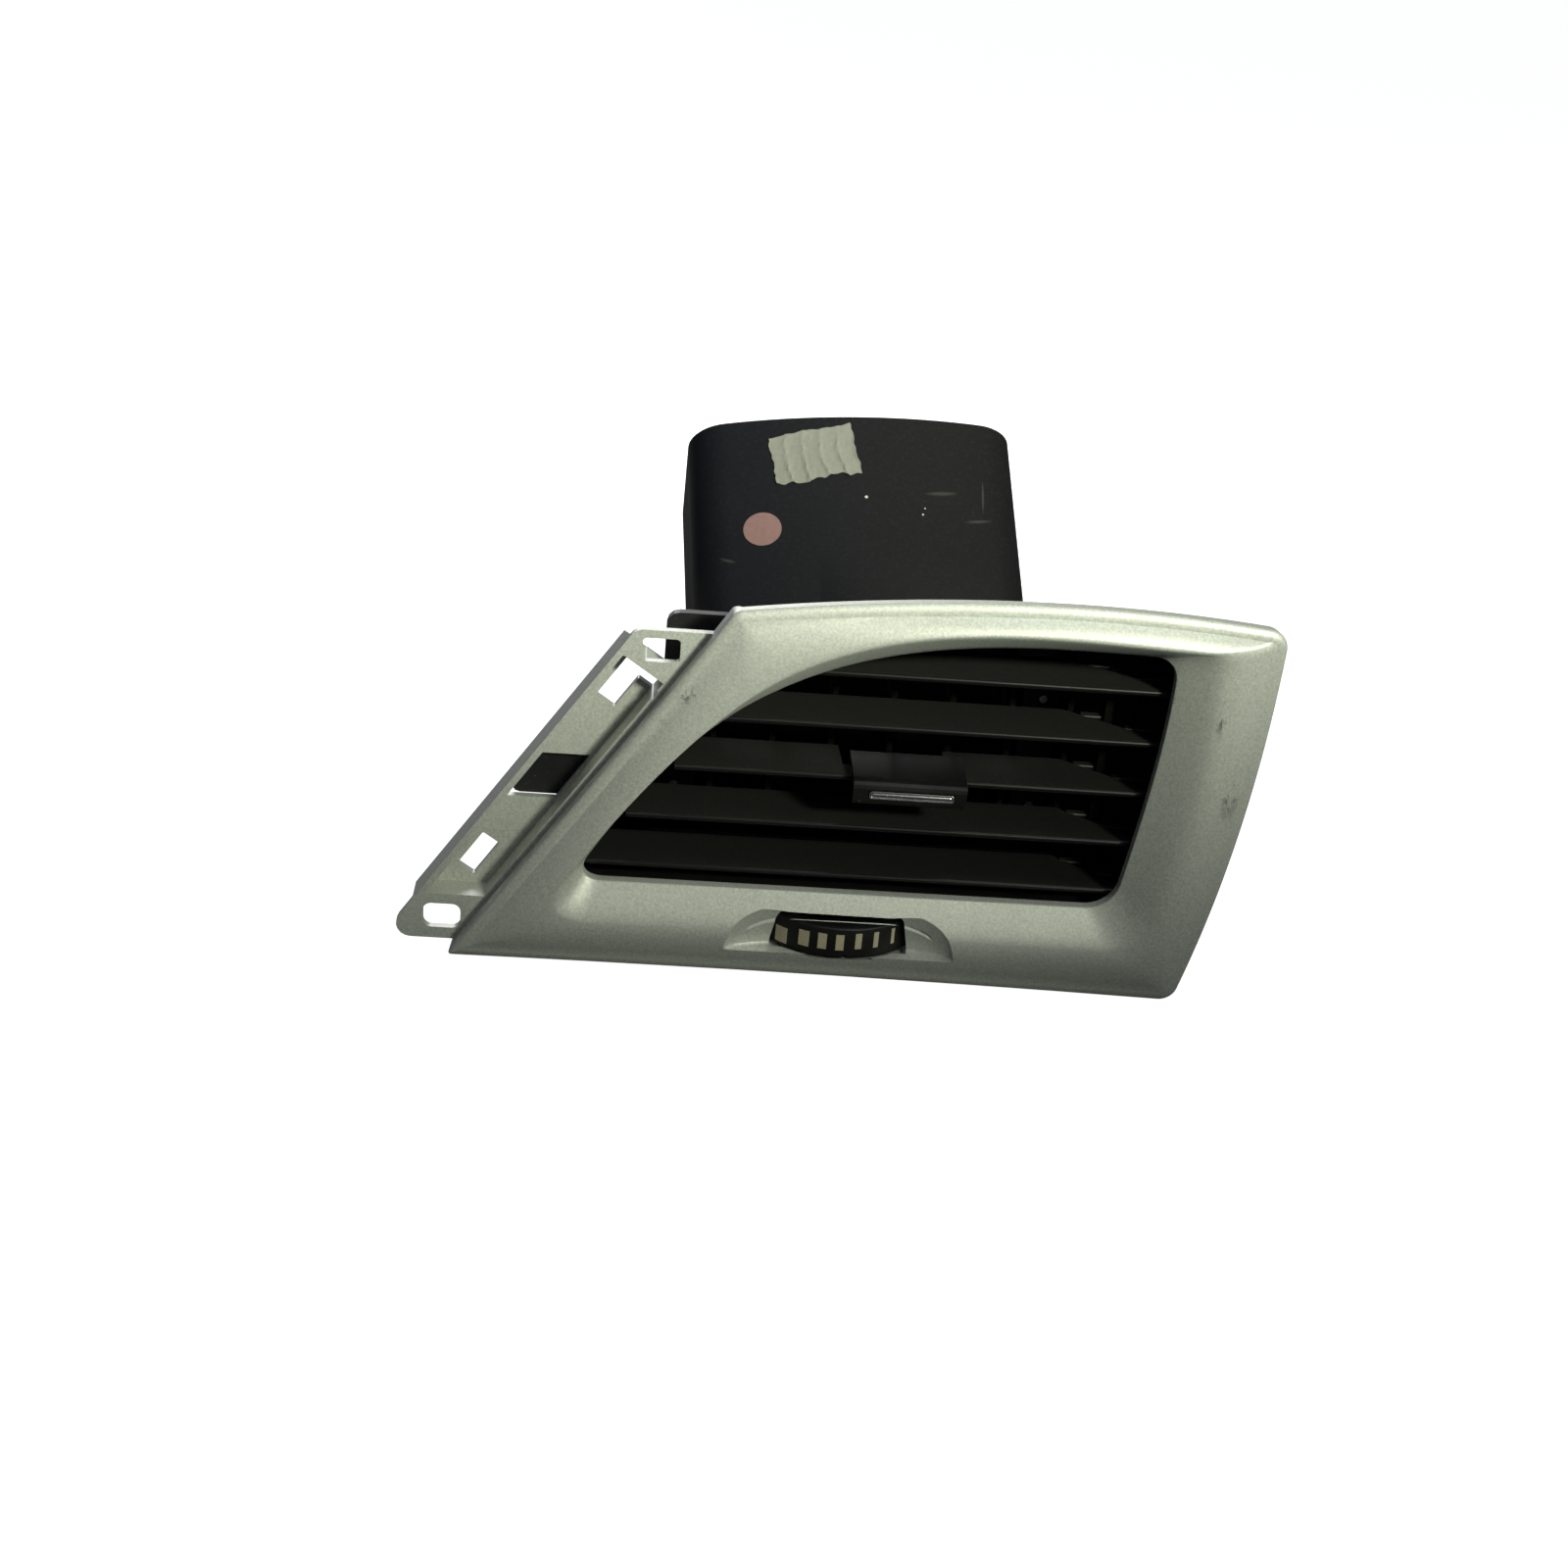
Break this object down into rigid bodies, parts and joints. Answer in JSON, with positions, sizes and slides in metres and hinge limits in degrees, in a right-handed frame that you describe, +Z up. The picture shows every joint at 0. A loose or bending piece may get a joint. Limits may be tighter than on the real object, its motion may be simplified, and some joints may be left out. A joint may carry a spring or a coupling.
{
  "type": "dashboard air vent",
  "caption": "Side air vent for a car dashboard, with a silver bezel, tilting louvres, a sliding knob that turns the vanes, and a thumbwheel that shuts the flap in its duct.",
  "frame": {"origin": "on the flat rear rim of the bezel's lower edge, which rests against the dashboard", "axes": "+X to the right seen from the seat, +Y into the dashboard, +Z up"},
  "size_m": [0.22, 0.145, 0.1254],
  "materials": {
    "silver_paint": "satin silver paint on moulded plastic",
    "black_plastic": "plain moulded",
    "louvre_plastic": "satin moulded",
    "chrome_strip": "bright",
    "seal_foam": "foam sheet",
    "zinc_steel": "zinc plated"
  },
  "bodies": {
    "vent": {"bezel": "silver_paint", "bezel_screw_1": "zinc_steel", "bezel_screw_2": "zinc_steel", "bezel_screw_3": "zinc_steel", "bezel_screw_4": "zinc_steel", "housing": "black_plastic", "duct": "black_plastic", "duct_screw_1": "zinc_steel", "duct_screw_2": "zinc_steel", "duct_screw_3": "zinc_steel", "duct_screw_4": "zinc_steel", "wheel_screw": "zinc_steel"},
    "slat_3": {"slat_3": "louvre_plastic"},
    "slat_1": {"slat_1": "louvre_plastic"},
    "slat_2": {"slat_2": "louvre_plastic"},
    "slat_4": {"slat_4": "louvre_plastic"},
    "slat_5": {"slat_5": "louvre_plastic"},
    "slat_link": {"slat_link": "louvre_plastic"},
    "knob": {"knob": "louvre_plastic", "knob_trim": "chrome_strip"},
    "vane_1": {"vane_1": "louvre_plastic"},
    "vane_2": {"vane_2": "louvre_plastic"},
    "vane_3": {"vane_3": "louvre_plastic"},
    "vane_4": {"vane_4": "louvre_plastic"},
    "vane_5": {"vane_5": "louvre_plastic"},
    "vane_6": {"vane_6": "louvre_plastic"},
    "vane_7": {"vane_7": "louvre_plastic"},
    "vane_8": {"vane_8": "louvre_plastic"},
    "vane_link": {"vane_link": "louvre_plastic"},
    "thumbwheel": {"thumbwheel": "louvre_plastic"},
    "damper_link": {"damper_link": "black_plastic"},
    "damper": {"damper": "black_plastic", "damper_seal": "seal_foam", "damper_crank": "black_plastic"}
  },
  "joints": [
    {"name": "slat_3_tilt", "type": "hinge", "parent": "vent", "child": "slat_3", "pos_m": [0, 0.00175, 0.0533], "axis": [1, 0, 0], "range_deg": [-20, 20]},
    {"name": "slat_1_tilt", "type": "hinge", "parent": "vent", "child": "slat_1", "pos_m": [0, 0.00175, 0.0819], "axis": [1, 0, 0], "range_deg": [-20, 20]},
    {"name": "slat_2_tilt", "type": "hinge", "parent": "vent", "child": "slat_2", "pos_m": [0, 0.00175, 0.0676], "axis": [1, 0, 0], "range_deg": [-20, 20]},
    {"name": "slat_4_tilt", "type": "hinge", "parent": "vent", "child": "slat_4", "pos_m": [0, 0.00175, 0.039], "axis": [1, 0, 0], "range_deg": [-20, 20]},
    {"name": "slat_5_tilt", "type": "hinge", "parent": "vent", "child": "slat_5", "pos_m": [0, 0.00175, 0.0247], "axis": [1, 0, 0], "range_deg": [-20, 20]},
    {"name": "slat_link_swing", "type": "hinge", "parent": "slat_3", "child": "slat_link", "pos_m": [0.062, 0.00855, 0.0533], "axis": [1, 0, 0], "range_deg": [-20, 20]},
    {"name": "knob_slide", "type": "slide", "parent": "slat_3", "child": "knob", "axis": [1, 0, 0], "range_m": [-0.009, 0.009]},
    {"name": "vane_1_turn", "type": "hinge", "parent": "vent", "child": "vane_1", "pos_m": [-0.056, 0.0245, 0.0185], "axis": [0, 0, 1], "range_deg": [-23, 23]},
    {"name": "vane_2_turn", "type": "hinge", "parent": "vent", "child": "vane_2", "pos_m": [-0.0404, 0.0245, 0.0185], "axis": [0, 0, 1], "range_deg": [-23, 23]},
    {"name": "vane_3_turn", "type": "hinge", "parent": "vent", "child": "vane_3", "pos_m": [-0.0248, 0.0245, 0.0185], "axis": [0, 0, 1], "range_deg": [-23, 23]},
    {"name": "vane_4_turn", "type": "hinge", "parent": "vent", "child": "vane_4", "pos_m": [-0.0092, 0.0245, 0.0185], "axis": [0, 0, 1], "range_deg": [-23, 23]},
    {"name": "vane_5_turn", "type": "hinge", "parent": "vent", "child": "vane_5", "pos_m": [0.0064, 0.0245, 0.0185], "axis": [0, 0, 1], "range_deg": [-23, 23]},
    {"name": "vane_6_turn", "type": "hinge", "parent": "vent", "child": "vane_6", "pos_m": [0.022, 0.0245, 0.0185], "axis": [0, 0, 1], "range_deg": [-23, 23]},
    {"name": "vane_7_turn", "type": "hinge", "parent": "vent", "child": "vane_7", "pos_m": [0.0376, 0.0245, 0.0185], "axis": [0, 0, 1], "range_deg": [-23, 23]},
    {"name": "vane_8_turn", "type": "hinge", "parent": "vent", "child": "vane_8", "pos_m": [0.0532, 0.0245, 0.0185], "axis": [0, 0, 1], "range_deg": [-23, 23]},
    {"name": "vane_link_swing", "type": "hinge", "parent": "vane_5", "child": "vane_link", "pos_m": [0.0064, 0.0185, 0.0228], "axis": [0, 0, 1], "range_deg": [-23, 23]},
    {"name": "thumbwheel_turn", "type": "hinge", "parent": "vent", "child": "thumbwheel", "pos_m": [-0.0045, 0.005, 0.0093], "axis": [0, 0, 1], "range_deg": [-40, 40]},
    {"name": "damper_link_slide", "type": "slide", "parent": "vent", "child": "damper_link", "axis": [0, 1, 0], "range_m": [-0.008, 0.008]},
    {"name": "damper_turn", "type": "hinge", "parent": "vent", "child": "damper", "pos_m": [-0.00084, 0.07376, 0.04156], "axis": [0.9972, 0.0574, 0.0482], "range_deg": [-40, 40]}
  ],
  "couplings": [
    {"joint": "slat_1_tilt", "follows": "slat_3_tilt", "ratio": 1},
    {"joint": "slat_2_tilt", "follows": "slat_3_tilt", "ratio": 1},
    {"joint": "slat_4_tilt", "follows": "slat_3_tilt", "ratio": 1},
    {"joint": "slat_5_tilt", "follows": "slat_3_tilt", "ratio": 1},
    {"joint": "slat_link_swing", "follows": "slat_3_tilt", "ratio": -1},
    {"joint": "vane_1_turn", "follows": "knob_slide", "rad_per_m": 44.5},
    {"joint": "vane_2_turn", "follows": "knob_slide", "rad_per_m": 44.5},
    {"joint": "vane_3_turn", "follows": "knob_slide", "rad_per_m": 44.5},
    {"joint": "vane_4_turn", "follows": "knob_slide", "rad_per_m": 44.5},
    {"joint": "vane_5_turn", "follows": "knob_slide", "rad_per_m": 44.5},
    {"joint": "vane_6_turn", "follows": "knob_slide", "rad_per_m": 44.5},
    {"joint": "vane_7_turn", "follows": "knob_slide", "rad_per_m": 44.5},
    {"joint": "vane_8_turn", "follows": "knob_slide", "rad_per_m": 44.5},
    {"joint": "vane_link_swing", "follows": "knob_slide", "rad_per_m": -44.5},
    {"joint": "damper_link_slide", "follows": "thumbwheel_turn", "m_per_rad": 0.011325},
    {"joint": "damper_turn", "follows": "thumbwheel_turn", "ratio": 1}
  ]
}
